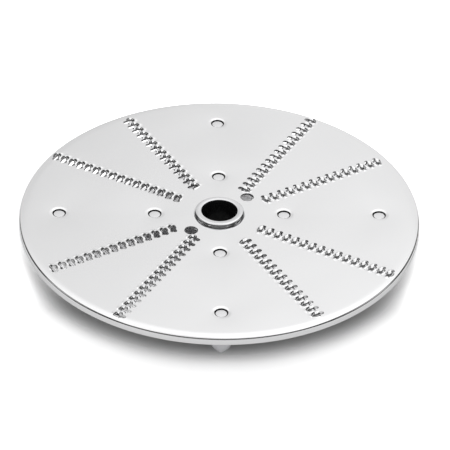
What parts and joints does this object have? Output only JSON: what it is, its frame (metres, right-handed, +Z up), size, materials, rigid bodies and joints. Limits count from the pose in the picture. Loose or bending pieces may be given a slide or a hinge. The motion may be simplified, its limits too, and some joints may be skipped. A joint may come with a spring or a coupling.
{
  "type": "shredding disc",
  "caption": "Round pressed-steel shredding disc with radial rows of raised hooded teeth, a collared hub lined with a black bush, and a ribbed carrier beneath.",
  "frame": {"origin": "centre of the hub's lower face, on which the disc rests", "axes": "+Z up along the hub axis, towards the toothed face; X and Y along the four arms and their rivets"},
  "size_m": [0.205, 0.205, 0.0218],
  "materials": {
    "stainless_sheet": "fine satin, nearly polished",
    "cast_alloy": "satin casting",
    "black_plastic": "glossy moulding",
    "rivet_steel": "bright set head"
  },
  "bodies": {
    "root": {"grating_plate": "stainless_sheet", "hub_spider": "cast_alloy", "hub_bush": "black_plastic", "rivet_inner_1": "rivet_steel", "rivet_inner_2": "rivet_steel", "rivet_inner_3": "rivet_steel", "rivet_inner_4": "rivet_steel", "rivet_outer_1": "rivet_steel", "rivet_outer_2": "rivet_steel", "rivet_outer_3": "rivet_steel", "rivet_outer_4": "rivet_steel"}
  },
  "joints": []
}
